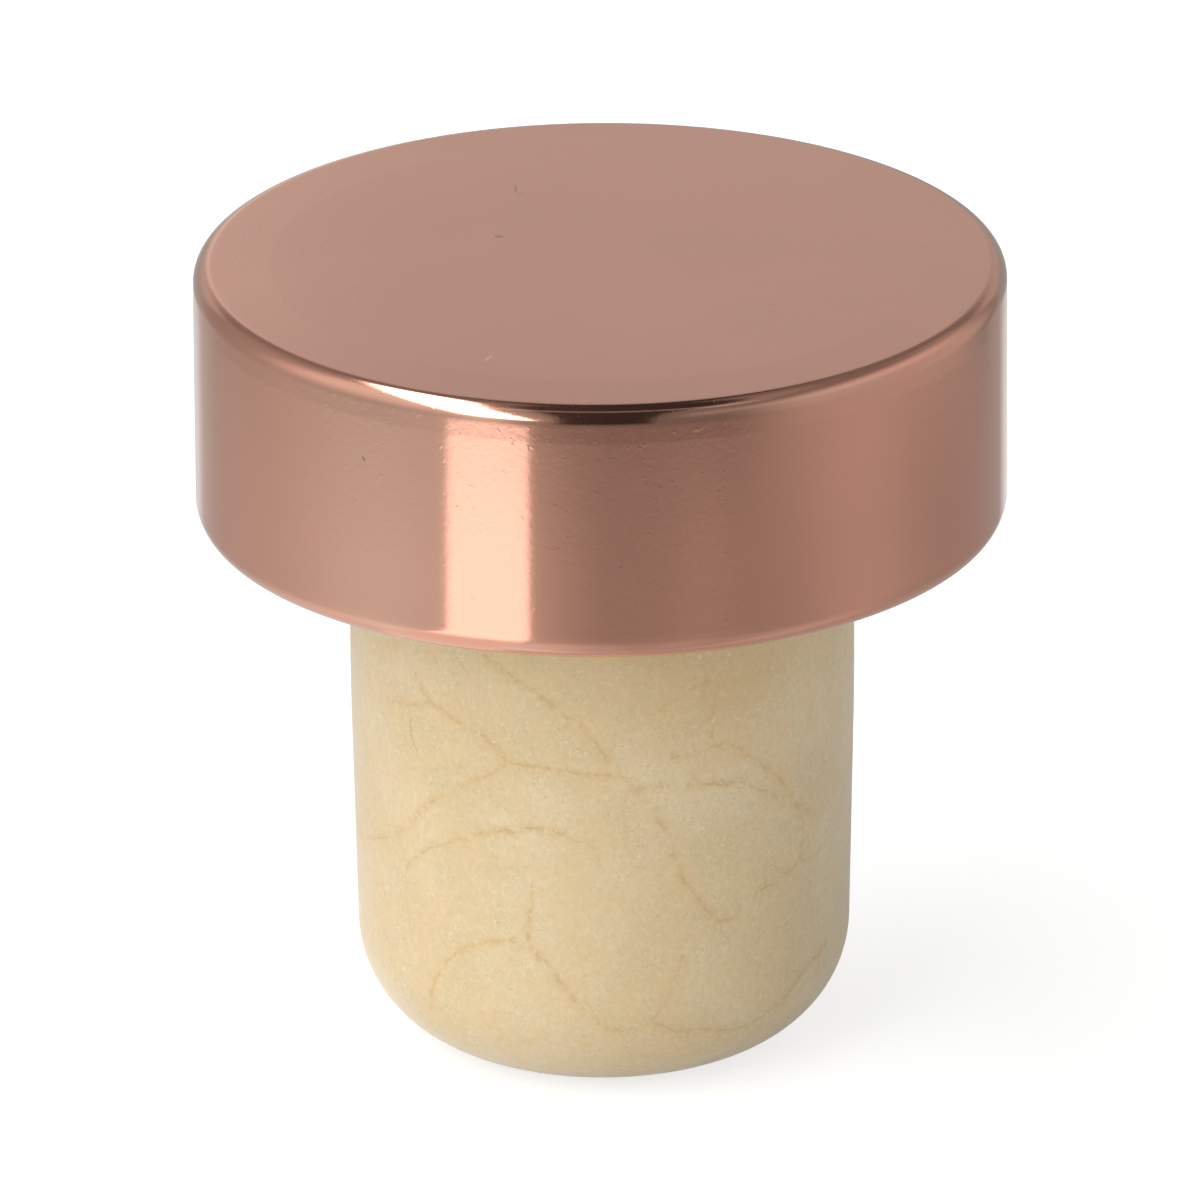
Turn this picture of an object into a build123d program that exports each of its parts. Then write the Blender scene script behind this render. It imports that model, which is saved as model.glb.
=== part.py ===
"""A bar-top cork lid: a metal-skinned head on a marbled cork shank.

The head is a ribbed plastic moulding in a cup drawn from sheet metal. The cup's lower edge is
rolled in under the moulding. The moulding's hollow, barbed spigot is glued into the shank.

Sizes are in millimetres. The origin is the middle of the shank's flat lower end, and +Z goes up
the axis. The seat is the level at which the head comes down on the mouth of a bottle.
"""

import os

from build123d import *

os.makedirs("parts", exist_ok=True)

# Cap shell, the cup drawn from sheet
cap_diameter = 30.0
cap_height = 9.95
sheet = 0.45
top_rounding = 0.7  # outside of the bend into the flat top
lip_rounding = 0.9  # outside of the bend into the rolled lip
lip_width = 1.9  # from the cup's side in to the sheet's cut edge

# Cork shank
shank_diameter = 18.7
shank_length = 20.35  # from the flat end up to the seat
straight_length = 6.7  # the stretch below the seat that has no taper
tip_diameter = 18.1  # where the tapered side would meet the flat end
tip_rounding = 4.4
recess_depth = 0.5  # how far the shank's top stands in the head
socket_chamfer = 0.6

# Head insert, the moulding
seat_thickness = 1.8  # the moulding's floor, above the seat
rim_wall = 1.2
rib_count = 8
rib_thickness = 1.0
rib_drop = 0.4  # from the rim's top down to the ribs
pocket_corner = 0.6
draft = 1.0  # degrees

# Spigot of the head insert
spigot_diameter = 7.0
spigot_length = 11.0  # below the seat
spigot_floor = 1.3
tip_chamfer = 0.5
root_chamfer = 0.4  # where the spigot leaves the head
core_diameter = 4.2  # of the hollow, at its closed end
barb_count = 3
barb_height = 0.25
barb_length = 1.2
barb_pitch = 2.6
barb_drop = 3.0  # from the seat to the first barb's shoulder

# Clearances, on each side
skin_gap = 0.05  # between the cup and the moulding
fit_gap = 0.05  # between the shank and its recess in the head
glue_gap = 0.1  # between the barbs and the socket
end_gap = 0.4  # below the spigot's tip

# Radii
cap_radius = cap_diameter / 2
lip_radius = cap_radius - lip_width
insert_radius = cap_radius - sheet - skin_gap
shoulder_radius = lip_radius - skin_gap
rim_inner_radius = insert_radius - rim_wall
shank_radius = shank_diameter / 2
recess_radius = shank_radius + fit_gap
spigot_radius = spigot_diameter / 2
barb_radius = spigot_radius + barb_height
socket_radius = barb_radius + glue_gap

# Levels
seat_z = shank_length
cap_top_z = seat_z + cap_height
insert_top_z = cap_top_z - sheet - skin_gap
rib_top_z = insert_top_z - rib_drop
pocket_floor_z = seat_z + seat_thickness
shoulder_z = seat_z + sheet
recess_z = seat_z + recess_depth
spigot_tip_z = seat_z - spigot_length
core_floor_z = spigot_tip_z + spigot_floor
socket_floor_z = spigot_tip_z - end_gap


# Cap shell: one thickness of sheet from the middle of the top round to the cut edge
with BuildPart() as cap_shell:
    with BuildSketch(Plane.XZ):
        with BuildLine():
            FilletPolyline(
                (0, cap_top_z),
                (cap_radius, cap_top_z),
                (cap_radius, seat_z),
                (lip_radius, seat_z),
                radius=[top_rounding, lip_rounding],
            )
            offset(amount=sheet, side=Side.RIGHT)
        make_face()
    revolve(axis=Axis.Z)
cap_shell.part.label = "cap_shell"


# The spigot's side from its tip up, each barb a slope below and a shoulder above
spigot_side = []
for number in reversed(range(barb_count)):
    shoulder = seat_z - barb_drop - number * barb_pitch
    spigot_side.append((spigot_radius, shoulder - barb_length))
    spigot_side.append((barb_radius, shoulder))
    spigot_side.append((spigot_radius, shoulder))


# Head insert: a round moulding, hollowed between its ribs and down its spigot
with BuildPart() as head_insert:
    with BuildSketch(Plane.XZ) as moulding:
        with BuildLine():
            Polyline(
                (0, spigot_tip_z),
                (spigot_radius, spigot_tip_z),
                *spigot_side,
                (spigot_radius, recess_z),
                (recess_radius, recess_z),
                (recess_radius, seat_z),
                (shoulder_radius, seat_z),
                (shoulder_radius, shoulder_z),
                (insert_radius, shoulder_z),
                (insert_radius, insert_top_z),
                (0, insert_top_z),
                close=True,
            )
        make_face()
        top_corner = moulding.vertices().sort_by_distance((insert_radius, insert_top_z))[0]
        chamfer(top_corner, length=top_rounding)
        lip_corner = moulding.vertices().sort_by_distance((insert_radius, shoulder_z))[0]
        chamfer(lip_corner, length=lip_rounding)
        root_corner = moulding.vertices().sort_by_distance((spigot_radius, recess_z))[0]
        chamfer(root_corner, length=root_chamfer)
        tip_corner = moulding.vertices().sort_by_distance((spigot_radius, spigot_tip_z))[0]
        chamfer(tip_corner, length=tip_chamfer)
    revolve(axis=Axis.Z)

    # Inside the rim the top is cut down to the level of the ribs
    with BuildSketch(Plane.XY.offset(rib_top_z)):
        Circle(rim_inner_radius)
    extrude(amount=rib_drop, mode=Mode.SUBTRACT)

    # Pockets between the ribs, with rounded corners and the mould's draft
    with BuildSketch(Plane.XY.offset(rib_top_z)) as pockets:
        Circle(rim_inner_radius)
        Circle(spigot_radius, mode=Mode.SUBTRACT)
        with PolarLocations(rim_inner_radius / 2, rib_count):
            Rectangle(rim_inner_radius, rib_thickness, mode=Mode.SUBTRACT)
        fillet(pockets.vertices(), radius=pocket_corner)
    extrude(amount=pocket_floor_z - rib_top_z, taper=draft, mode=Mode.SUBTRACT)

    # The hollow down the spigot, which opens upward with the same draft
    with BuildSketch(Plane.XY.offset(core_floor_z)):
        Circle(core_diameter / 2)
    extrude(amount=rib_top_z - core_floor_z, taper=-draft, mode=Mode.SUBTRACT)
head_insert.part.label = "head_insert"


# Cork shank: straight below the seat, then tapered to a large rounding and a small flat end
with BuildPart() as cork_shank:
    with BuildSketch(Plane.XZ) as cork:
        with BuildLine():
            Polyline(
                (0, 0),
                (tip_diameter / 2, 0),
                (shank_radius, seat_z - straight_length),
                (shank_radius, recess_z),
                (0, recess_z),
                close=True,
            )
        make_face()
        end_corner = cork.vertices().sort_by_distance((tip_diameter / 2, 0))[0]
        fillet(end_corner, radius=tip_rounding)
        top_corner = cork.vertices().sort_by_distance((shank_radius, recess_z))[0]
        chamfer(top_corner, length=recess_depth)
    revolve(axis=Axis.Z)

    # Blind socket for the spigot, with a bevelled mouth that clears the spigot's root
    with Locations((0, 0, recess_z)):
        Hole(radius=socket_radius, depth=recess_z - socket_floor_z)
    mouth = cork_shank.edges().group_by(Axis.Z)[-1].sort_by(SortBy.RADIUS)[0]
    chamfer(mouth, length=socket_chamfer)
cork_shank.part.label = "cork_shank"


export_step(cap_shell.part, "parts/cap_shell.step")
export_step(head_insert.part, "parts/head_insert.step")
export_step(cork_shank.part, "parts/cork_shank.step")
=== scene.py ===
"""A cork lid in a small photo studio.

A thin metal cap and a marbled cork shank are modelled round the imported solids, and the hidden
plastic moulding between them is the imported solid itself. The studio has a pale floor, soft
light and a camera at the angle of the photograph.
"""

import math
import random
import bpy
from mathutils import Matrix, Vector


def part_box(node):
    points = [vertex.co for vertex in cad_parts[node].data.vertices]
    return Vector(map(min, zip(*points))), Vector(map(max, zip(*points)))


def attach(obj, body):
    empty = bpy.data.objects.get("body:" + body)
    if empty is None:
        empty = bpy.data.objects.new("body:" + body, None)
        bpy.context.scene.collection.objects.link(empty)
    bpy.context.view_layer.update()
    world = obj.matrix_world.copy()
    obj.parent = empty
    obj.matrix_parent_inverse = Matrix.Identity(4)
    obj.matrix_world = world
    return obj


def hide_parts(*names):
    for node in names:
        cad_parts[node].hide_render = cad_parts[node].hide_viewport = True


bl_info = {
    "name": "Cork lid",
    "version": (1, 0, 0),
    "blender": (4, 5, 0),
    "location": "3D View > Sidebar > Cork Lid",
    "description": "Models a metal-capped cork lid and the studio that it stands in",
    "category": "Add Mesh",
}

import bmesh
import bpy
from bpy.props import FloatProperty, FloatVectorProperty, IntProperty, PointerProperty
from bpy.types import Operator, Panel, PropertyGroup
from mathutils import Matrix, Vector

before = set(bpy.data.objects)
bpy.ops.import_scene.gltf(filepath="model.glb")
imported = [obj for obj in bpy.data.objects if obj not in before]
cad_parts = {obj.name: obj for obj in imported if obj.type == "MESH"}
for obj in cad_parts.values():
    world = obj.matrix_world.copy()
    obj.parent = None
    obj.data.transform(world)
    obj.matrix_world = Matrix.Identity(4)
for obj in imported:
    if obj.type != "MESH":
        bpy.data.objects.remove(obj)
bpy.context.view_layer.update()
CAP_LOW, CAP_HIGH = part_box("cap_shell")
SHANK_LOW, SHANK_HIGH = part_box("cork_shank")

MM = 0.001
VEIN_RADIUS = SHANK_HIGH.x  # radius at which the veins are laid out


# Settings


def length(name, description, default):
    """A size in metres that the sidebar shows in the scene's unit."""
    return FloatProperty(
        name=name, description=description, default=default, min=0.0, precision=5,
        unit="LENGTH", subtype="DISTANCE",
    )


def share(name, description, default):
    """A number from 0 to 1."""
    return FloatProperty(
        name=name, description=description, default=default, min=0.0, max=1.0, subtype="FACTOR"
    )


def colour(name, description, default):
    """A linear colour."""
    return FloatVectorProperty(
        name=name, description=description, default=default, size=3, min=0.0, max=1.0,
        subtype="COLOR",
    )


def count(name, description, default):
    """A whole number."""
    return IntProperty(name=name, description=description, default=default, min=1)


class CapSettings(PropertyGroup):
    """Sizes and finish of the metal cap"""

    radius: length("Radius", "Outside radius of the cap", CAP_HIGH.x)
    top: length("Top", "Height of the flat top above the table", CAP_HIGH.z)
    seat: length("Seat", "Height of the cap's lower edge above the table", CAP_LOW.z)
    sheet: length("Sheet", "Thickness of the sheet", 0.45 * MM)
    top_rounding: length("Top rounding", "Radius of the bend into the top", 0.62 * MM)
    lip_rounding: length("Lip rounding", "Radius of the bend into the rolled lip", 0.9 * MM)
    lip_width: length("Lip width", "From the cap's side in to the sheet's cut edge", 1.9 * MM)
    ease_height: length("Ease height", "Stretch of the side below the top that leans in", 1.0 * MM)
    ease_lean: length("Ease lean", "How far the side leans in at the top", 0.024 * MM)
    crown_radius: length("Crown radius", "Radius at which the flat top starts to fall", 13.2 * MM)
    crown_fall: FloatProperty(
        name="Crown fall", description="Slope of the top just inside its bend",
        default=math.radians(1.4), subtype="ANGLE", unit="ROTATION",
    )
    steps: count("Steps", "Steps round the cap", 320)
    metal: colour("Metal", "Colour of the metal seen straight on", (0.79, 0.372, 0.257))
    roughness: share("Roughness", "Roughness of the metal", 0.10)
    coat: share("Lacquer", "Weight of the clear lacquer", 0.85)


class ShankSettings(PropertyGroup):
    """Sizes and colours of the cork shank"""

    radius: length("Radius", "Radius of the straight stretch", SHANK_HIGH.x)
    top: length("Top", "Height of the shank's upper end above the table", SHANK_HIGH.z)
    straight: length("Straight", "Height at which the straight stretch starts", 13.65 * MM)
    tip_radius: length("Tip radius", "Radius where the tapered side would meet the end", 9.05 * MM)
    tip_rounding: length("Tip rounding", "Radius of the bend into the flat end", 4.4 * MM)
    top_bevel: length("Top bevel", "Bevel of the upper end", 0.5 * MM)
    socket_radius: length("Socket radius", "Radius of the socket for the spigot", 3.85 * MM)
    socket_floor: length("Socket floor", "Height of the socket's floor", 8.95 * MM)
    socket_bevel: length("Socket bevel", "Bevel of the socket's mouth", 0.6 * MM)
    steps: count("Steps", "Steps round the shank", 256)
    cream: colour("Cream", "Colour of the cork's light areas", (0.715, 0.563, 0.348))
    tan: colour("Tan", "Colour of the cork's darker areas", (0.673, 0.516, 0.296))
    amber: colour("Amber", "Colour of the soft bands along the veins", (0.678, 0.462, 0.222))
    blush: colour("Blush", "Colour of the rosier patches", (0.711, 0.525, 0.291))
    vein: colour("Vein", "Colour of the veins", (0.46, 0.335, 0.17))
    chalk: colour("Chalk", "Colour of the palest grains", (0.85, 0.72, 0.50))
    roughness: share("Roughness", "Roughness of the cork", 0.62)
    sheen: share("Sheen", "Weight of the pale bloom at grazing angles", 0.6)


class MouldingSettings(PropertyGroup):
    """Finish of the hidden plastic moulding"""

    plastic: colour("Plastic", "Colour of the moulded plastic", (0.80, 0.76, 0.68))
    roughness: share("Roughness", "Roughness of the moulded plastic", 0.38)


class StudioSettings(PropertyGroup):
    """The floor, the light and the camera"""

    floor: colour("Floor", "Colour of the floor", (0.40, 0.40, 0.40))
    floor_radius: length("Floor radius", "Radius of the floor", 1.6)
    lens: FloatProperty(name="Lens", description="Focal length in millimetres", default=607.1)
    distance: length("Distance", "From the camera to the point that it aims at", 0.75)
    elevation: FloatProperty(
        name="Elevation", description="Camera's height above the horizon",
        default=math.radians(21.99), subtype="ANGLE", unit="ROTATION",
    )
    roll: FloatProperty(
        name="Roll", description="Camera's turn about its own axis",
        default=math.radians(-0.3642), subtype="ANGLE", unit="ROTATION",
    )
    aim: FloatVectorProperty(
        name="Aim", description="Point that the camera looks at",
        default=(-0.0765 * MM, 0.0, 16.834 * MM), size=3, precision=5,
        unit="LENGTH", subtype="XYZ",
    )
    softbox: FloatProperty(name="Softbox", description="Brightness of the softbox", default=5.0)
    fill: FloatProperty(name="Fill", description="Power of the fill light in watts", default=0.12)


# Shader maths


class Value:
    """An output of a shader node. Arithmetic on it adds Math nodes."""

    def __init__(self, shader, socket):
        self.shader = shader
        self.socket = socket

    def math(self, operation, *inputs):
        return self.shader.node("ShaderNodeMath", {"operation": operation}, inputs)

    def output(self, name):
        """Another output of the same node."""
        return Value(self.shader, self.socket.node.outputs[name])

    def __add__(self, other):
        return self.math("ADD", self, other)

    def __radd__(self, other):
        return self.math("ADD", other, self)

    def __sub__(self, other):
        return self.math("SUBTRACT", self, other)

    def __rsub__(self, other):
        return self.math("SUBTRACT", other, self)

    def __mul__(self, other):
        return self.math("MULTIPLY", self, other)

    def __rmul__(self, other):
        return self.math("MULTIPLY", other, self)

    def __truediv__(self, other):
        return self.math("DIVIDE", self, other)

    def __rtruediv__(self, other):
        return self.math("DIVIDE", other, self)

    def __neg__(self):
        return self.math("MULTIPLY", self, -1.0)

    def __abs__(self):
        return self.math("ABSOLUTE", self)

    def least(self, other):
        return self.math("MINIMUM", self, other)

    def smooth(self, start, end, low=0.0, high=1.0):
        """Goes softly from low to high as this value goes from start to end."""
        return self.shader.node(
            "ShaderNodeMapRange",
            {"interpolation_type": "SMOOTHSTEP"},
            {"Value": self, "From Min": start, "From Max": end, "To Min": low, "To Max": high},
        )

    def bell(self, middle, width):
        """1 at middle, and falling away on both sides of it."""
        offset = (self - middle) / width
        fall = -(offset * offset)
        return fall.math("EXPONENT", fall)


class Shader:
    """Builds one node tree, from an empty one."""

    def __init__(self, tree):
        self.tree = tree
        tree.nodes.clear()

    def node(self, kind, settings=None, inputs=None, output=0):
        """Adds a node, sets it, feeds its sockets and gives one of its outputs."""
        made = self.tree.nodes.new(kind)
        for name, value in (settings or {}).items():
            setattr(made, name, value)
        fed = inputs.items() if isinstance(inputs, dict) else enumerate(inputs or ())
        for key, value in fed:
            socket = self.find(made.inputs, key)
            if isinstance(value, Value):
                self.tree.links.new(value.socket, socket)
            else:
                socket.default_value = value
        return Value(self, self.find(made.outputs, output)) if len(made.outputs) else made

    @staticmethod
    def find(sockets, key):
        """The socket with that number, identifier or name."""
        if isinstance(key, int):
            return sockets[key]
        return next((s for s in sockets if s.identifier == key), None) or sockets[key]

    def mix(self, factor, start, end):
        """Goes from one colour to another."""
        ends = {}
        for key, value in (("A_Color", start), ("B_Color", end)):
            ends[key] = value if isinstance(value, Value) else (*value, 1.0)
        return self.node(
            "ShaderNodeMix",
            {"data_type": "RGBA"},
            {"Factor_Float": factor, **ends},
            "Result_Color",
        )

    def noise(self, vector, scale, detail=2.0, roughness=0.5, distortion=0.0):
        """Noise about 0.5, from which a pattern is made."""
        return self.node(
            "ShaderNodeTexNoise",
            inputs={
                "Vector": vector, "Scale": scale, "Detail": detail, "Roughness": roughness,
                "Distortion": distortion,
            },
        )

    def distance(self, place, point):
        """How far a place is from a fixed point."""
        return self.node("ShaderNodeVectorMath", {"operation": "DISTANCE"}, (place, point), "Value")

    def bump(self, height, distance):
        """The normal of a relief, whose height of 1 stands for that many metres."""
        return self.node(
            "ShaderNodeBump", inputs={"Strength": 1.0, "Distance": distance, "Height": height}
        )


def new_material(name):
    """An empty material and the shader that fills it."""
    material = bpy.data.materials.new(name)
    material.use_nodes = True
    return material, Shader(material.node_tree)


def finish_surface(shader, inputs):
    """Adds the surface shader and the material's output."""
    surface = shader.node("ShaderNodeBsdfPrincipled", inputs=inputs)
    shader.node("ShaderNodeOutputMaterial", inputs={"Surface": surface})


# Turned shapes


# How far the soft changes reach, from flat top to falling crown, from straight side to leaning
# ease, and from straight shank to taper
CROWN_BLEND = 1.15 * MM
EASE_BLEND = 0.40 * MM
TAPER_BLEND = 1.0 * MM

# Extra rings, which keep the shading even: two above the cap's lip, and one in the shank's end
SIDE_RINGS = (2.0 * MM, 0.15 * MM)
END_RING = 2.5 * MM


def draw_profile(bm, points):
    """Draws points, each a radius and a height, as one wire in the XZ plane."""
    verts = [bm.verts.new((radius, 0.0, height)) for radius, height in points]
    for start, end in zip(verts, verts[1:]):
        bm.edges.new((start, end))
    return verts


def cut_corner(bm, corner, width, segments):
    """Cuts a corner of the wire off at that width on both sides, round if it has segments."""
    bmesh.ops.bevel(
        bm, geom=[corner], offset=width, offset_type="OFFSET",
        segments=segments, profile=0.5, affect="VERTICES", material=-1,
    )


def round_corner(bm, corner, radius, segments):
    """Rounds a corner of the wire to that radius."""
    before, after = (edge.other_vert(corner).co - corner.co for edge in corner.link_edges)
    turn = math.pi - before.angle(after)
    cut_corner(bm, corner, radius * math.tan(turn / 2), segments)


def spin_profile(bm, steps):
    """Turns the wire about the Z axis into a closed skin of faces that point outwards."""
    bmesh.ops.spin(
        bm, geom=bm.verts[:] + bm.edges[:], cent=(0, 0, 0), axis=(0, 0, 1), dvec=(0, 0, 0),
        angle=2 * math.pi, steps=steps, use_merge=True,
    )
    bmesh.ops.remove_doubles(bm, verts=bm.verts[:], dist=MM / 10000)
    bmesh.ops.recalc_face_normals(bm, faces=bm.faces[:])


def add_piece(name, bm, material):
    """Makes an object of the bmesh, smooth shaded."""
    for face in bm.faces:
        face.smooth = True
    mesh = bpy.data.meshes.new(name)
    bm.to_mesh(mesh)
    bm.free()
    mesh.materials.append(material)
    piece = bpy.data.objects.new(name, mesh)
    bpy.context.scene.collection.objects.link(piece)
    return piece


# Finishes


# Specks and nicks in the cap's finish: two ends and half a width in millimetres, a weight and a
# colour
DARK = (0.10, 0.07, 0.05)
LIGHT = (0.97, 0.52, 0.40)
CAP_MARKS = (
    ((-3.12, 7.91, 30.3), (-3.10, 7.11, 30.3), 0.07, 0.38, DARK),
    ((-3.06, 7.02, 30.3), (-2.78, 7.00, 30.3), 0.08, 0.15, DARK),
    ((-3.84, 2.59, 30.3), (-3.59, 2.55, 30.3), 0.12, 0.55, DARK),
    ((-4.21, -10.07, 30.3), (-3.95, -9.46, 30.3), 0.08, 0.90, LIGHT),
    ((-8.67, -12.24, 27.48), (-8.58, -12.31, 27.29), 0.05, 0.55, DARK),
    ((-5.24, -14.05, 26.25), (-5.23, -14.06, 26.20), 0.04, 0.50, DARK),
    ((0.67, -14.985, 24.21), (0.68, -14.985, 24.12), 0.05, 0.30, DARK),
)


def stroke(shader, place, start, end, half_width):
    """1 on a short stroke between two points, and 0 away from it."""
    start, end = (tuple(MM * number for number in point) for point in (start, end))
    near, far = (shader.distance(place, point) for point in (start, end))
    reach = math.dist(start, end)
    edge = 2 * math.hypot(reach / 2, half_width * MM) - reach
    return (near + far).smooth(reach + 1.5 * edge, reach + 0.2 * edge)


def lacquered_metal(settings):
    """Copper-coloured metal under clear lacquer, a little uneven where the sheet was bent."""
    material, shader = new_material("lacquered_copper")
    place = shader.node("ShaderNodeTexCoord", output="Object")
    height = shader.node("ShaderNodeSeparateXYZ", inputs={"Vector": place}, output="Z")
    bend = height.smooth(settings.top - 3.0 * MM, settings.top - 0.6 * MM)  # unevenness grows here
    cloud = shader.noise(place, scale=160.0, detail=2.0)
    darker = [0.97 * level for level in settings.metal]
    shade = shader.mix(cloud.smooth(0.3, 0.7), darker, settings.metal)
    for *line, weight, tone in CAP_MARKS:
        shade = shader.mix(weight * stroke(shader, place, *line), shade, tone)
    peel = shader.noise(place, scale=4500.0, detail=1.0, roughness=0.6)
    pimple = shader.noise(place, scale=3600.0, detail=1.0).smooth(0.66, 0.78)
    wave = shader.noise(place, scale=450.0, detail=1.0)
    relief = wave * 0.8 + peel * (0.30 + 0.18 * bend) + pimple * (0.25 + 0.45 * bend)
    finish_surface(
        shader,
        {
            "Base Color": shade,
            "Metallic": 1.0,
            "Roughness": settings.roughness + 0.04 * (peel - 0.5),
            "Specular Tint": (1.0, 0.90, 0.82, 1.0),
            "Coat Weight": settings.coat,
            "Coat Roughness": 0.03,
            "Coat IOR": 1.5,
            "Normal": shader.bump(relief, 2.5e-6),
        },
    )
    return material


def marbled_cork(settings):
    """Cream cork with faint broken veins and a fine grain."""
    material, shader = new_material("marbled_cork")
    place = shader.node("ShaderNodeTexCoord", output="Object")
    cloud = shader.noise(place, scale=260.0, detail=3.0, roughness=0.55, distortion=0.4)
    ground = shader.mix(cloud.smooth(0.36, 0.64), settings.cream, settings.tan)

    # Each vein is a thin line, worn away here and there, in a soft amber band
    spot, rear_spot = round_the_shank(shader, place)
    vein_gap = line_gap(shader, spot, VEINS).least(line_gap(shader, rear_spot, back_veins()))
    mark_gap = line_gap(shader, spot, MARKS)
    wear = shader.noise(place, scale=1500.0, detail=2.0, roughness=0.6)
    grain = shader.noise(place, scale=4300.0, detail=1.0, roughness=0.6, distortion=0.6)
    band = vein_gap.smooth(0.38 * MM, 0.0) * wear.smooth(0.28, 0.62, 0.2, 1.0)
    line = (
        vein_gap.smooth(0.13 * MM, 0.02 * MM) * wear.smooth(0.34, 0.60, 0.2, 1.0)
        * grain.smooth(0.70, 0.40, 0.35, 1.0)
    )
    mark = mark_gap.smooth(0.06 * MM, 0.02 * MM)
    patch = shader.noise(place, scale=700.0, detail=3.0, roughness=0.65, distortion=0.5)
    ground = shader.mix(patch.smooth(0.44, 0.66) * 0.8, ground, settings.blush)
    # Amber patches, a little darker too; those at the front are painted shade under the cap and low
    # on the left
    for angle, level, reach, weight in AMBER_PATCHES_AND_SHADE:
        turn = math.radians(angle)
        middle = (VEIN_RADIUS * math.sin(turn), -VEIN_RADIUS * math.cos(turn), level * MM)
        shade_and_patch = shader.distance(place, middle).smooth(reach * MM, 0.0) * weight
        ground = shader.mix(shade_and_patch, ground, settings.amber)
        ground = shader.mix(shade_and_patch * 0.4, ground, settings.vein)
    shade = shader.mix(band * 0.85, ground, settings.amber)
    shade = shader.mix(line * 0.42, shade, settings.vein)
    shade = shader.mix(mark * 0.60, shade, settings.vein)

    # The grain is both colour and relief. In patches it has fine specks: the dark ones are painted
    # shade in pits, and the light ones are pale flakes painted lighter as glints
    shade = shader.mix(grain.smooth(0.52, 0.22, 0.0, 0.15), shade, settings.vein)
    shade = shader.mix(grain.smooth(0.50, 0.78, 0.0, 0.20), shade, settings.chalk)
    fleck = shader.noise(place, scale=6500.0, detail=1.0, distortion=1.2)
    flecked = patch.smooth(0.62, 0.40)
    pit_shade = fleck.smooth(0.41, 0.29, 0.0, 0.34) * flecked
    flake_glint = fleck.smooth(0.61, 0.72, 0.0, 0.44) * flecked
    shade = shader.mix(pit_shade, shade, settings.vein)
    shade = shader.mix(flake_glint, shade, settings.chalk)
    finish_surface(
        shader,
        {
            "Base Color": shade,
            "Roughness": settings.roughness + 0.1 * (grain - 0.5),
            "Sheen Weight": settings.sheen,
            "Sheen Roughness": 0.4,
            "Normal": shader.bump(grain, 1.5e-5),
        },
    )
    return material


BACK_VEINS = 16  # how many veins the hidden side has
BACK_SEED = 11  # seed of the draws that place them

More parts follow.
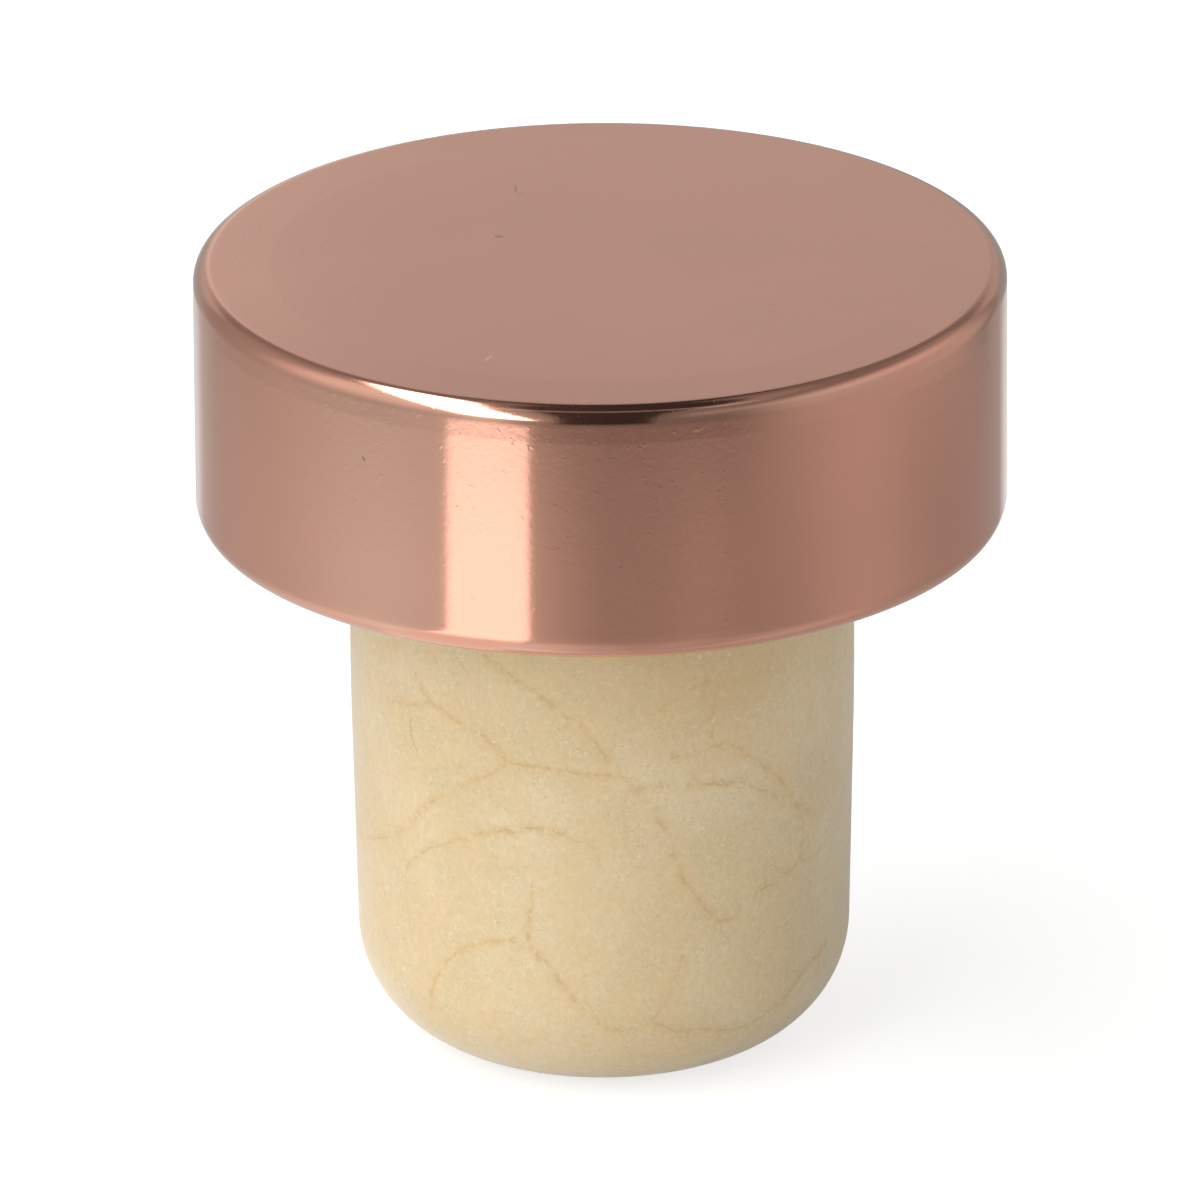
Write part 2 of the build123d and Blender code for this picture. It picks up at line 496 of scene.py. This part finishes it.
# The veins that show at the front, each an arc through three points on the shank's side, and its
# strength. A point is an angle in degrees, positive to the camera's right, and a height in
# millimetres.
VEINS = (
    ((-27.7, 17.99), (-22.5, 17.50), (-17.2, 16.98), 1.0),
    ((-17.2, 16.98), (-11.7, 16.39), (-6.7, 15.77), 0.9),
    ((-6.7, 15.77), (-2.5, 15.11), (2.0, 14.08), 0.7),
    ((-58.7, 14.95), (-51.9, 15.08), (-42.2, 15.59), 0.5),
    ((-42.2, 15.59), (-37.8, 15.34), (-31.5, 14.98), 0.8),
    ((-31.5, 14.98), (-25.8, 14.56), (-22.2, 13.86), 1.0),
    ((-47.5, 16.57), (-45.0, 15.98), (-41.6, 15.58), 0.5),
    ((-22.2, 13.86), (-15.5, 13.92), (-9.1, 13.80), 0.7),
    ((-9.1, 13.80), (-4.1, 13.68), (2.0, 13.64), 0.8),
    ((2.0, 13.64), (4.9, 13.46), (7.6, 13.00), 0.5),
    ((-22.2, 13.86), (-26.9, 13.37), (-33.0, 12.69), 1.0),
    ((-33.0, 12.69), (-40.2, 11.92), (-47.4, 10.87), 0.7),
    ((-47.4, 10.87), (-51.1, 10.24), (-55.9, 9.53), 0.4),
    ((-55.9, 9.53), (-63.5, 9.06), (-81.4, 8.12), 0.6),
    ((-32.0, 10.60), (-25.4, 11.05), (-19.8, 11.27), 1.1),
    ((-19.8, 11.27), (-12.7, 11.36), (-8.1, 11.13), 1.0),
    ((-8.1, 11.13), (-3.8, 10.87), (-0.8, 10.27), 0.4),
    ((-32.0, 10.60), (-41.2, 9.95), (-52.7, 8.46), 0.6),
    ((-17.1, 9.11), (-17.0, 7.70), (-17.8, 6.68), 0.7),
    ((-17.8, 6.68), (-13.3, 5.95), (-8.0, 4.88), 1.1),
    ((-8.0, 4.88), (-3.9, 4.05), (0.0, 3.46), 1.0),
    ((-45.6, 2.94), (-44.1, 3.96), (-40.3, 5.03), 0.8),
    ((-40.3, 5.03), (-36.4, 5.80), (-30.5, 6.34), 0.7),
    ((-30.5, 6.34), (-24.7, 6.68), (-17.8, 6.56), 0.4),
    ((11.1, 15.78), (13.9, 16.29), (17.6, 16.70), 0.6),
    ((17.6, 16.70), (21.7, 16.88), (25.4, 17.17), 0.5),
    ((26.4, 17.02), (26.1, 15.96), (25.3, 14.75), 0.6),
    ((7.6, 13.00), (11.7, 13.15), (17.1, 13.13), 0.5),
    ((19.0, 13.13), (26.1, 12.90), (34.5, 12.72), 1.0),
    ((15.2, 14.25), (19.2, 14.24), (23.1, 14.34), 0.5),
    ((23.1, 14.34), (26.8, 14.43), (31.5, 14.19), 0.9),
    ((31.5, 14.19), (35.6, 13.68), (39.3, 13.12), 0.9),
    ((39.3, 13.12), (45.0, 12.22), (49.5, 11.15), 0.8),
    ((49.5, 11.15), (52.2, 10.08), (51.6, 9.14), 0.9),
    ((51.6, 9.14), (50.2, 8.65), (45.4, 8.54), 0.9),
    ((35.4, 12.53), (40.0, 12.01), (45.7, 11.50), 0.7),
    ((49.5, 11.15), (53.3, 10.78), (57.5, 10.19), 0.8),
    ((11.3, 12.47), (12.4, 11.77), (15.5, 11.20), 1.0),
    ((15.5, 10.43), (18.1, 9.49), (21.8, 8.52), 0.9),
    ((21.8, 8.52), (24.5, 7.84), (27.4, 7.35), 1.0),
    ((27.4, 7.35), (30.5, 7.32), (33.2, 7.78), 0.7),
    ((36.3, 7.98), (39.8, 8.16), (44.1, 8.20), 0.6),
    ((51.7, 8.90), (56.1, 8.57), (60.0, 8.71), 0.6),
    ((18.6, 6.22), (17.0, 5.49), (15.3, 4.87), 0.6),
    ((15.3, 4.87), (13.6, 4.26), (10.6, 3.76), 0.5),
    ((0.0, 3.46), (5.9, 3.34), (11.1, 3.58), 0.5),
    ((11.1, 3.58), (18.1, 3.13), (26.4, 2.97), 0.7),
    ((26.4, 2.97), (35.0, 2.67), (42.2, 2.93), 0.6),
    ((42.2, 2.93), (47.4, 3.36), (51.4, 3.94), 1.0),
    ((51.4, 3.94), (57.3, 4.35), (64.6, 4.64), 0.9),
)

# Short dark marks, in the same form
MARKS = (
    ((-49.1, 14.67), (-49.1, 13.95), (-47.2, 13.41), 1.0),
    ((-49.1, 14.63), (-46.7, 14.83), (-44.1, 14.87), 0.6),
    ((-65.4, 15.91), (-63.3, 15.84), (-60.9, 15.90), 0.6),
    ((-66.9, 7.64), (-65.2, 7.54), (-63.1, 7.55), 0.5),
    ((-27.3, 12.84), (-27.0, 12.69), (-27.3, 12.48), 0.6),
    ((41.5, 9.00), (43.1, 8.93), (44.7, 8.69), 0.9),
)

# Wide faint amber patches, a little darker too: an angle and a height as above, a reach in
# millimetres and a weight.
# The three near the top, up to the cap's seat, are painted shade and painted warm bounce from the
# copper under the cap, and the one low on the left is painted shade; those round the back are plain
# amber patches
AMBER_PATCHES_AND_SHADE = (
    (27.0, 17.4, 5.0, 0.40),
    (13.0, 20.2, 4.0, 0.45),
    (-72.0, 7.5, 5.5, 0.22),
    (-20.0, 20.4, 3.5, 0.12),
    (150.0, 12.0, 6.0, 0.30),
    (205.0, 6.5, 5.0, 0.25),
    (238.0, 16.5, 5.0, 0.30),
)


def arc_through(first, middle, last):
    """Centre and radius of the circle through three points of a plane."""
    ax, ay = first
    bx, by = middle
    cx, cy = last
    doubled = 2 * (ax * (by - cy) + bx * (cy - ay) + cx * (ay - by))
    a2, b2, c2 = ax * ax + ay * ay, bx * bx + by * by, cx * cx + cy * cy
    x = (a2 * (by - cy) + b2 * (cy - ay) + c2 * (ay - by)) / doubled
    y = (a2 * (cx - bx) + b2 * (ax - cx) + c2 * (bx - ax)) / doubled
    return (x, y), math.hypot(ax - x, ay - y)


def back_veins():
    """Veins for the side that the photograph doesn't show, of the same kind as the others."""
    draw = random.Random(BACK_SEED)
    veins = []
    for number in range(BACK_VEINS):
        angle = 95.0 + 170.0 * (number + 0.5) / BACK_VEINS
        height = draw.uniform(3.5, 16.5)
        heading = draw.uniform(-0.9, 0.9)
        reach = draw.uniform(2.0, 3.6)
        sag = draw.uniform(0.25, 0.8) * draw.choice((-1.0, 1.0))
        run = math.degrees(reach * MM / VEIN_RADIUS) * math.cos(heading)
        rise = reach * math.sin(heading)
        veins.append((
            (angle - run, height - rise), (angle, height + sag), (angle + run, height + rise),
            draw.uniform(0.5, 1.0),
        ))
    return veins


def round_the_shank(shader, place):
    """Flat places on the shank's side, unrolled from the front and from the back.

    They wander a little, so that no vein is a clean arc.
    """
    wander = (0.5 * MM,) * 3
    warp = shader.node(
        "ShaderNodeTexNoise",
        inputs={"Vector": place, "Scale": 1500.0, "Detail": 3.0, "Roughness": 0.65},
        output="Color",
    )
    shift = shader.node(
        "ShaderNodeVectorMath", {"operation": "SUBTRACT"}, (warp, (0.5, 0.5, 0.5))
    )
    moved = shader.node(
        "ShaderNodeVectorMath", {"operation": "MULTIPLY_ADD"}, (shift, wander, place)
    )
    x = shader.node("ShaderNodeSeparateXYZ", inputs={"Vector": moved}, output="X")
    y, z = x.output("Y"), x.output("Z")
    front = x.math("ARCTAN2", x, -y) * VEIN_RADIUS
    rear = (-x).math("ARCTAN2", -x, y) * VEIN_RADIUS + math.pi * VEIN_RADIUS
    return [
        shader.node("ShaderNodeCombineXYZ", inputs={"X": across, "Y": z, "Z": 0.0})
        for across in (front, rear)
    ]


def line_gap(shader, spot, lines):
    """How far a place is from the nearest of the lines. Faint ones count as further away."""
    nearest = None
    for *points, strength in lines:
        ends = [(math.radians(angle) * VEIN_RADIUS, height * MM) for angle, height in points]
        centre, radius = arc_through(*ends)
        middle = ((ends[0][0] + ends[2][0]) / 2, (ends[0][1] + ends[2][1]) / 2)
        reach = math.dist(ends[0], ends[2]) / 2
        off, past = (shader.distance(spot, (*point, 0.0)) for point in (centre, middle))
        faintness = (1.0 - strength) * 0.08 * MM
        beyond = past.smooth(reach * 0.95, reach + 0.25 * MM, faintness, 2.0 * MM)
        gap = abs(off - radius) + beyond
        nearest = gap if nearest is None else nearest.least(gap)
    return nearest


def moulded_plastic(settings):
    """Off-white moulded plastic with a fine satin texture."""
    material, shader = new_material("moulded_plastic")
    place = shader.node("ShaderNodeTexCoord", output="Object")
    cloud = shader.noise(place, scale=300.0, detail=2.0)
    texture = shader.noise(place, scale=9000.0, detail=2.0)
    darker = [0.93 * level for level in settings.plastic]
    shade = shader.mix(cloud.smooth(0.3, 0.7), darker, settings.plastic)
    finish_surface(
        shader,
        {
            "Base Color": shade,
            "Roughness": settings.roughness + 0.1 * (texture - 0.5),
            "Normal": shader.bump(texture, 4e-6),
        },
    )
    return material


# Operators


class LID_OT_cap(Operator):
    """Turn the thin metal cap, with its rounded edges and rolled lip"""

    bl_idname = "lid.cap"
    bl_label = "Cap"

    def execute(self, context):
        settings = context.scene.lid_cap
        upper_radius = settings.radius - settings.ease_lean
        fall = (upper_radius - settings.crown_radius) * math.tan(settings.crown_fall)
        lip = settings.radius - settings.lip_width
        lip_top = settings.seat + settings.lip_rounding
        bm = bmesh.new()
        wire = draw_profile(bm, (
            (0.0, settings.top),
            (settings.crown_radius * 0.5, settings.top),
            (settings.crown_radius, settings.top),
            (upper_radius, settings.top - fall),
            (settings.radius, settings.top - settings.ease_height),
            (settings.radius, lip_top + SIDE_RINGS[0]),
            (settings.radius, lip_top + SIDE_RINGS[1]),
            (settings.radius, settings.seat),
            (lip, settings.seat),
        ))
        crown, rim, ease, edge = wire[2], wire[3], wire[4], wire[7]
        round_corner(bm, rim, settings.top_rounding, segments=18)
        cut_corner(bm, crown, CROWN_BLEND, segments=10)
        cut_corner(bm, ease, EASE_BLEND, segments=6)
        round_corner(bm, edge, settings.lip_rounding, segments=14)
        spin_profile(bm, settings.steps)
        bmesh.ops.solidify(bm, geom=bm.faces[:], thickness=settings.sheet)
        cap = add_piece("cap", bm, lacquered_metal(settings))
        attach(cap, "root")
        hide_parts("cap_shell")
        return {"FINISHED"}


class LID_OT_shank(Operator):
    """Turn the cork shank, with its tapered side and its socket"""

    bl_idname = "lid.shank"
    bl_label = "Cork shank"

    def execute(self, context):
        settings = context.scene.lid_shank
        bm = bmesh.new()
        wire = draw_profile(bm, (
            (0.0, 0.0),
            (END_RING, 0.0),
            (settings.tip_radius, 0.0),
            (settings.radius, settings.straight),
            (settings.radius, settings.top),
            (settings.socket_radius, settings.top),
            (settings.socket_radius, settings.socket_floor),
            (0.0, settings.socket_floor),
        ))
        tip, taper, upper_edge, mouth = wire[2:6]
        round_corner(bm, tip, settings.tip_rounding, segments=24)
        cut_corner(bm, taper, TAPER_BLEND, segments=4)
        cut_corner(bm, upper_edge, settings.top_bevel, segments=1)
        cut_corner(bm, mouth, settings.socket_bevel, segments=1)
        spin_profile(bm, settings.steps)
        shank = add_piece("shank", bm, marbled_cork(settings))
        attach(shank, "root")
        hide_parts("cork_shank")
        return {"FINISHED"}


class LID_OT_moulding(Operator):
    """Finish the plastic moulding inside the cap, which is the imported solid"""

    bl_idname = "lid.moulding"
    bl_label = "Moulding"

    def execute(self, context):
        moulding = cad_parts["head_insert"]
        material = moulded_plastic(context.scene.lid_moulding)
        if moulding.material_slots:
            moulding.material_slots[0].material = material
        else:
            moulding.data.materials.append(material)
        return {"FINISHED"}


class LID_OT_studio(Operator):
    """Set up the floor, the light and the camera"""

    bl_idname = "lid.studio"
    bl_label = "Studio"

    def execute(self, context):
        settings = context.scene.lid_studio
        scene = context.scene
        scene.view_settings.view_transform = "Standard"
        add_camera(scene, settings)
        add_floor(settings)
        add_fill(scene, settings)
        scene.world = studio_world(settings)
        return {"FINISHED"}


# The fill light: width and height, azimuth from the camera and elevation in degrees, distance
# to what it lights, and the height of that
FILL_SIZE = (0.40, 0.25)
FILL_ANGLES = (150.0, 25.0)
FILL_DISTANCE = 0.5
FILL_TARGET = 12.0 * MM

# The floor's own glow where the camera sees it, and its paleness for light that bounces off it
FLOOR_GLOW = 0.75
FLOOR_BOUNCE = (0.85, 0.85, 0.85, 1.0)


def add_camera(scene, settings):
    """Places the camera at the photograph's viewing angle."""
    back = Vector((0.0, -math.cos(settings.elevation), math.sin(settings.elevation)))
    up = Vector((0.0, math.sin(settings.elevation), math.cos(settings.elevation)))
    right = Vector((1.0, 0.0, 0.0))
    turned_right = math.cos(settings.roll) * right + math.sin(settings.roll) * up
    turned_up = math.cos(settings.roll) * up - math.sin(settings.roll) * right
    data = bpy.data.cameras.new("camera")
    data.lens = settings.lens
    data.sensor_width = 36.0
    data.clip_start = 0.01
    data.clip_end = 10.0
    camera = bpy.data.objects.new("camera", data)
    turn = Matrix((turned_right, turned_up, back)).transposed().to_4x4()
    camera.matrix_world = Matrix.Translation(
        Vector(settings.aim) + back * settings.distance
    ) @ turn
    scene.collection.objects.link(camera)
    scene.camera = camera


def add_floor(settings):
    """A round pale floor that the lid's reflections leave out."""
    bm = bmesh.new()
    bmesh.ops.create_circle(bm, cap_ends=True, segments=96, radius=settings.floor_radius)
    material, shader = new_material("pale_floor")
    camera_ray = shader.node("ShaderNodeLightPath", output="Is Camera Ray")
    bounce = shader.node("ShaderNodeBsdfDiffuse", inputs={"Color": FLOOR_BOUNCE})
    paint = shader.node("ShaderNodeBsdfDiffuse", inputs={"Color": (*settings.floor, 1.0)})
    glow = shader.node(
        "ShaderNodeEmission", inputs={"Color": (1.0, 1.0, 1.0, 1.0), "Strength": FLOOR_GLOW}
    )
    seen = shader.node("ShaderNodeAddShader", inputs=(paint, glow))
    both = shader.node("ShaderNodeMixShader", inputs=(camera_ray, bounce, seen))
    shader.node("ShaderNodeOutputMaterial", inputs={"Surface": both})
    floor = add_piece("floor", bm, material)
    floor.visible_glossy = False


def add_fill(scene, settings):
    """A weak, wide light from behind, which the cap doesn't mirror."""
    data = bpy.data.lights.new("fill", "AREA")
    data.shape = "RECTANGLE"
    data.size, data.size_y = FILL_SIZE
    data.energy = settings.fill
    fill = bpy.data.objects.new("fill", data)
    azimuth, elevation = (math.radians(angle) for angle in FILL_ANGLES)
    towards = Vector((
        math.sin(azimuth) * math.cos(elevation), -math.cos(azimuth) * math.cos(elevation),
        math.sin(elevation),
    ))
    target = Vector((0.0, 0.0, FILL_TARGET))
    fill.matrix_world = (
        Matrix.Translation(target + towards * FILL_DISTANCE)
        @ towards.to_track_quat("Z", "Y").to_matrix().to_4x4()
    )
    fill.visible_glossy = False
    fill.visible_camera = False
    scene.collection.objects.link(fill)


# What stands round the lid, worked out from a direction: its x, y and z, its azimuth, positive
# to the camera's right, and its rise above the horizon, both in degrees. Each function gives a
# brightness or a mask.


def table_level(x, y, azimuth, rise):
    """The pale table, lit from the left."""
    left_light = 0.18 * x.smooth(0.05, -0.35)
    rear_shade = 0.07 * azimuth.bell(-143.0, 14.0)
    far_edge = (0.25 + 0.12 * x.smooth(-0.1, 0.1)) * y.smooth(0.84, 0.91)
    left_glow = 0.215 * azimuth.bell(-66.0, 32.0)
    right_glow = 0.13 * azimuth.bell(80.0, 20.0)
    front_glow = 0.05 * azimuth.bell(29.0, 10.0)
    below = 0.08 + 0.10 * x.smooth(0.13, 0.0) + 0.10 * x.smooth(0.0, -0.25)
    level = 0.393 + left_light - rear_shade + far_edge + left_glow + right_glow + front_glow
    return level + rise.smooth(-26.0, -50.0) * below


def walls_level(x, y, z, azimuth, rise):
    """The room's walls, paler at both sides. The left one catches the softbox."""
    right = (
        0.22 + 0.34 * x.smooth(0.52, 0.90)
        + 0.17 * rise.bell(32.0, 14.0) * x.smooth(0.28, 0.45)
        + 0.12 * rise.bell(66.0, 8.0) * x.smooth(0.18, 0.30)
    )
    left = (
        0.38 + 0.14 * y.smooth(0.70, 0.10) + 0.06 * y.smooth(-0.38, -0.62)
        + 0.42 * y.smooth(0.40, 0.0) * z.smooth(-0.35, 0.60)
    )
    left = 0.24 + x.smooth(-0.10, -0.65) * (left - 0.24)
    left = left + 0.30 * azimuth.bell(-32.0, 8.0) * z.smooth(0.5, 0.1)
    return right + x.smooth(0.02, -0.02) * (left - right)


def dark_strip(x, y, z):
    """1 on the dark strip that runs from the camera's side to overhead."""
    bulge = y.smooth(-0.6, -0.1) * y.smooth(0.6, 0.1)
    border = 0.215 + 0.05 * bulge - 0.14 * y.smooth(0.0, 0.6)
    offset = abs(x - (0.02 + 0.045 * bulge)) - border
    return offset.smooth(0.04, -0.03) * z.smooth(-0.34, -0.05)


def backdrop_level(x, z):
    """The backdrop behind the lid, palest left of the middle and darker at its foot and top."""
    pale = x.smooth(-0.005, -0.06) * x.smooth(-0.26, -0.08)
    level = 0.56 + 0.24 * pale - 0.08 * x.smooth(0.0, 0.12)
    return level * z.smooth(0.35, 0.51, 1.0, 0.50) * z.smooth(0.05, 0.33, 0.78, 1.0)


def softbox_masks(x, y, z, rise, glossy_ray):
    """1 on the softbox, and 1 on its mirror image in the table.

    It is a long one that leans from the camera's left to overhead. The cap mirrors it with an
    edge that slants more than that of the light it gives.
    """
    lean = x * -0.766 + y * 0.433 + abs(z) * -0.474
    lit = 0.025 * y.smooth(-0.9, -0.5) + 0.15 * y.smooth(-0.42, 0.30)
    slant = 0.025 * z.smooth(-0.34, -0.1) - 0.085 * z.smooth(-0.05, 0.75)
    seen = slant + 0.18 * y.smooth(-0.5, 0.5)
    right_edge = x + 0.325 - lit - glossy_ray * (seen - lit)
    strip = right_edge.smooth(0.015, -0.015) * y.smooth(0.60, 0.44)
    softbox = strip * lean.smooth(0.10, 0.03) * z.smooth(0.03, 0.20)
    mirrored = strip * lean.smooth(0.050, 0.020) * rise.smooth(-19.5, -21.0)
    return softbox, mirrored


def cool_mask(x, y, z, azimuth, behind):
    """How cool the light is: at the left of the table, overhead and on the backdrop's foot."""
    above_table = z.smooth(-0.30, -0.15, 0.0, 0.55)
    left_table = azimuth.bell(-65.0, 40.0) * z.smooth(-0.1, -0.3)
    both_sides = abs(x).smooth(0.10, 0.30) * y.smooth(0.10, -0.20) * above_table
    return left_table + both_sides + behind * z.smooth(0.36, 0.22) * above_table


def studio_world(settings):
    """What lights the lid and shows in the cap: a pale table, a dark room and a long softbox."""
    world = bpy.data.worlds.new("studio")
    world.use_nodes = True
    shader = Shader(world.node_tree)
    direction = shader.node("ShaderNodeTexCoord", output="Generated")
    x = shader.node("ShaderNodeSeparateXYZ", inputs={"Vector": direction}, output="X")
    y, z = x.output("Y"), x.output("Z")
    azimuth = x.math("ARCTAN2", x, -y) * (180 / math.pi)
    rise = z.math("ARCSINE", z) * (180 / math.pi)
    camera_ray = shader.node("ShaderNodeLightPath", output="Is Camera Ray")
    glossy_ray = camera_ray.output("Is Glossy Ray")

    # The dark strip has one paler line across it
    room = walls_level(x, y, z, azimuth, rise) * (1.0 - 0.80 * dark_strip(x, y, z))
    room = room + 0.28 * y.bell(-0.22, 0.07) * z.smooth(0.80, 0.90)
    behind = abs(azimuth).smooth(138.0, 148.0) * z.smooth(0.62, 0.50)
    room = room + behind * (backdrop_level(x, z) - room)

    # The table reaches out to 21 degrees below the horizon
    table = table_level(x, y, azimuth, rise)
    around = table + rise.smooth(-21.5, -20.1) * (room - table)
    softbox, mirrored = softbox_masks(x, y, z, rise, glossy_ray)
    around = around + mirrored * (rise.smooth(-24.0, -45.0, 1.9, 1.0) - around)
    around = around + softbox * (settings.softbox - around)

    # The camera itself sees plain white
    level = around + camera_ray * (1.0 - around)
    cool = cool_mask(x, y, z, azimuth, behind) * (1.0 - mirrored) * (1.0 - softbox)
    tint = shader.mix(cool * (1.0 - camera_ray), (1.0, 1.0, 1.0), (0.95, 1.12, 1.15))
    glow = shader.node("ShaderNodeBackground", inputs={"Color": tint, "Strength": level})
    shader.node("ShaderNodeOutputWorld", inputs={"Surface": glow})
    return world


class LID_PT_panel(Panel):
    """Lists the lid's pieces and their settings"""

    bl_idname = "LID_PT_panel"
    bl_label = "Cork lid"
    bl_space_type = "VIEW_3D"
    bl_region_type = "UI"
    bl_category = "Cork Lid"

    def draw(self, context):
        for operator, name in PARTS:
            box = self.layout.box()
            box.operator(operator.bl_idname)
            settings = getattr(context.scene, name)
            for setting in settings.__annotations__:
                box.prop(settings, setting)


SETTINGS = (
    ("lid_cap", CapSettings),
    ("lid_shank", ShankSettings),
    ("lid_moulding", MouldingSettings),
    ("lid_studio", StudioSettings),
)
PARTS = (
    (LID_OT_studio, "lid_studio"),
    (LID_OT_cap, "lid_cap"),
    (LID_OT_shank, "lid_shank"),
    (LID_OT_moulding, "lid_moulding"),
)


def register():
    """Makes the settings, operators and panel known."""
    for name, settings in SETTINGS:
        bpy.utils.register_class(settings)
        setattr(bpy.types.Scene, name, PointerProperty(type=settings))
    for operator, _ in PARTS:
        bpy.utils.register_class(operator)
    bpy.utils.register_class(LID_PT_panel)


def unregister():
    """Takes the settings, operators and panel away again."""
    bpy.utils.unregister_class(LID_PT_panel)
    for operator, _ in PARTS:
        bpy.utils.unregister_class(operator)
    for name, settings in SETTINGS:
        delattr(bpy.types.Scene, name)
        bpy.utils.unregister_class(settings)


def main():
    """Builds the scene."""
    register()
    bpy.ops.lid.studio()
    bpy.ops.lid.cap()
    bpy.ops.lid.shank()
    bpy.ops.lid.moulding()


if __name__ == "__main__":
    main()
